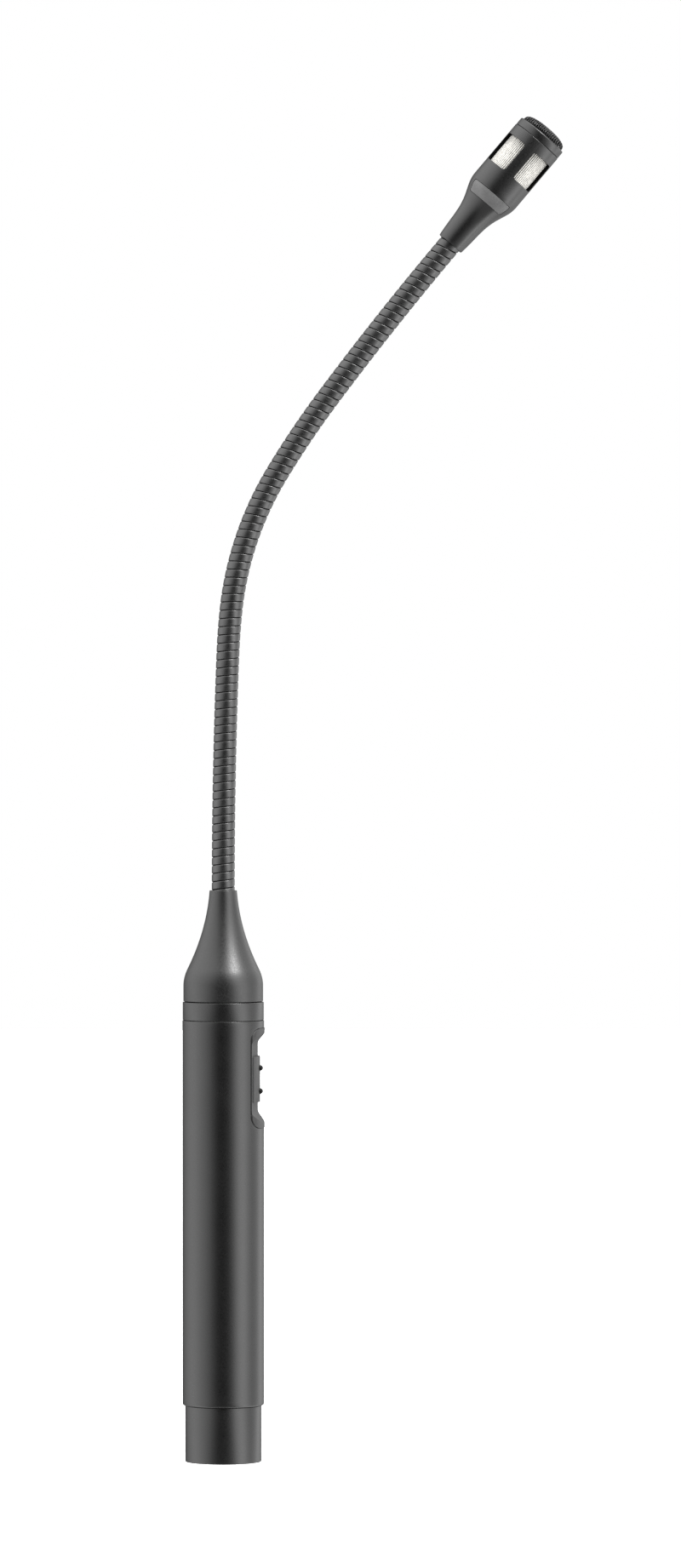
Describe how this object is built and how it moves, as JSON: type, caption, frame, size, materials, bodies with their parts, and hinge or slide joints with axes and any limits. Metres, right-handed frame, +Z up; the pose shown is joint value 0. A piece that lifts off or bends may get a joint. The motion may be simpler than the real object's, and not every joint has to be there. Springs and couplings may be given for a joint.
{
  "type": "gooseneck podium microphone",
  "caption": "Slim microphone on a bendable gooseneck, with a tapered cap, a round body with recessed slide switches, and a plug barrel with pins at its foot.",
  "frame": {"origin": "centre of the plug barrel's open end, where the socket's face lies", "axes": "+Z up along the body, out of the socket; +X is the side that the neck leans to and the switches face; the neck lies in the XZ plane"},
  "size_m": [0.0941, 0.0202, 0.3336],
  "materials": {
    "satin_black_metal": "satin black lacquer on turned metal",
    "neck_black_metal": "blackened spring wire, satin",
    "name_plate_grey": "matte grey, blank",
    "dark_grey_surround": "dark grey moulding",
    "window_screen_silver": "bright ribbed screen",
    "grille_wire": "black woven wire",
    "lever_gloss_black": "gloss black",
    "moulded_black": "moulded black",
    "pin_silver": "silver plated",
    "screw_steel": "plain steel",
    "turned_brass": "turned",
    "circuit_board": "green solder mask",
    "white_nylon": "natural nylon",
    "capacitor_sleeve": "blue sleeve",
    "cable_sheath": "grey sheath",
    "gasket_rubber": "black rubber",
    "acoustic_foam": "open foam"
  },
  "bodies": {
    "base": {"plug_shell": "satin_black_metal", "plug_insert": "moulded_black", "plug_pin_1": "pin_silver", "plug_pin_2": "pin_silver", "plug_pin_3": "pin_silver", "plug_set_screw": "screw_steel", "body_tube": "satin_black_metal", "identification_ring": "satin_black_metal", "tapered_cap": "satin_black_metal", "neck_ferrule": "turned_brass", "neck_set_screw": "screw_steel", "switch_surround": "dark_grey_surround", "switch_plate": "dark_grey_surround", "upper_switch_block": "moulded_black", "lower_switch_block": "moulded_black", "preamp_board": "circuit_board", "lower_board_carrier": "white_nylon", "upper_board_carrier": "white_nylon", "output_transformer": "screw_steel", "coupling_capacitor_1": "capacitor_sleeve", "coupling_capacitor_2": "capacitor_sleeve", "coupling_capacitor_3": "capacitor_sleeve", "coupling_capacitor_4": "capacitor_sleeve", "amplifier_chip": "moulded_black", "cable_header": "white_nylon", "neck_section_1": "neck_black_metal", "neck_cable_1": "cable_sheath"},
    "neck_link_1": {"neck_section_2": "neck_black_metal", "neck_cable_2": "cable_sheath"},
    "neck_link_2": {"neck_section_3": "neck_black_metal", "neck_cable_3": "cable_sheath"},
    "neck_link_3": {"neck_section_4": "neck_black_metal", "neck_cable_4": "cable_sheath"},
    "neck_link_4": {"neck_section_5": "neck_black_metal", "neck_cable_5": "cable_sheath"},
    "neck_link_5": {"neck_section_6": "neck_black_metal", "neck_cable_6": "cable_sheath"},
    "neck_link_6": {"neck_section_7": "neck_black_metal", "neck_cable_7": "cable_sheath"},
    "neck_link_7": {"neck_section_8": "neck_black_metal", "neck_cable_8": "cable_sheath"},
    "head": {"neck_section_9": "neck_black_metal", "neck_cable_9": "cable_sheath", "head_ferrule": "turned_brass", "head_housing": "satin_black_metal", "name_plate": "name_plate_grey", "window_screen": "window_screen_silver", "capsule": "turned_brass", "capsule_board": "circuit_board", "rear_capsule_gasket": "gasket_rubber", "front_capsule_gasket": "gasket_rubber", "front_foam": "acoustic_foam", "front_grille": "grille_wire", "front_ring": "satin_black_metal"},
    "upper_lever": {"upper_switch_lever": "lever_gloss_black"},
    "lower_lever": {"lower_switch_lever": "lever_gloss_black"}
  },
  "joints": [
    {"name": "neck_pitch_1", "type": "hinge", "parent": "base", "child": "neck_link_1", "pos_m": [0.00004, 0, 0.15295], "axis": [0, 1, 0], "range_deg": [-22, 22]},
    {"name": "neck_side_1", "type": "hinge", "parent": "neck_link_1", "child": "neck_link_2", "pos_m": [0.00037, 0, 0.17505], "axis": [0.9997, 0, -0.0226], "range_deg": [-22, 22]},
    {"name": "neck_pitch_2", "type": "hinge", "parent": "neck_link_2", "child": "neck_link_3", "pos_m": [0.00104, 0, 0.19714], "axis": [0, 1, 0], "range_deg": [-22, 22]},
    {"name": "neck_side_2", "type": "hinge", "parent": "neck_link_3", "child": "neck_link_4", "pos_m": [0.00313, 0, 0.21911], "axis": [0.98, 0, -0.199], "range_deg": [-22, 22]},
    {"name": "neck_pitch_3", "type": "hinge", "parent": "neck_link_4", "child": "neck_link_5", "pos_m": [0.01037, 0, 0.23992], "axis": [0, 1, 0], "range_deg": [-22, 22]},
    {"name": "neck_side_3", "type": "hinge", "parent": "neck_link_5", "child": "neck_link_6", "pos_m": [0.02207, 0, 0.25865], "axis": [0.8178, 0, -0.5754], "range_deg": [-22, 22]},
    {"name": "neck_pitch_4", "type": "hinge", "parent": "neck_link_6", "child": "neck_link_7", "pos_m": [0.03533, 0, 0.27633], "axis": [0, 1, 0], "range_deg": [-22, 22]},
    {"name": "neck_side_4", "type": "hinge", "parent": "neck_link_7", "child": "head", "pos_m": [0.04913, 0, 0.29359], "axis": [0.7726, 0, -0.6349], "range_deg": [-22, 22]},
    {"name": "upper_switch", "type": "slide", "parent": "base", "child": "upper_lever", "axis": [0, 0, 1], "range_m": [-0.0015, 0]},
    {"name": "lower_switch", "type": "slide", "parent": "base", "child": "lower_lever", "axis": [0, 0, 1], "range_m": [0, 0.0015]}
  ]
}
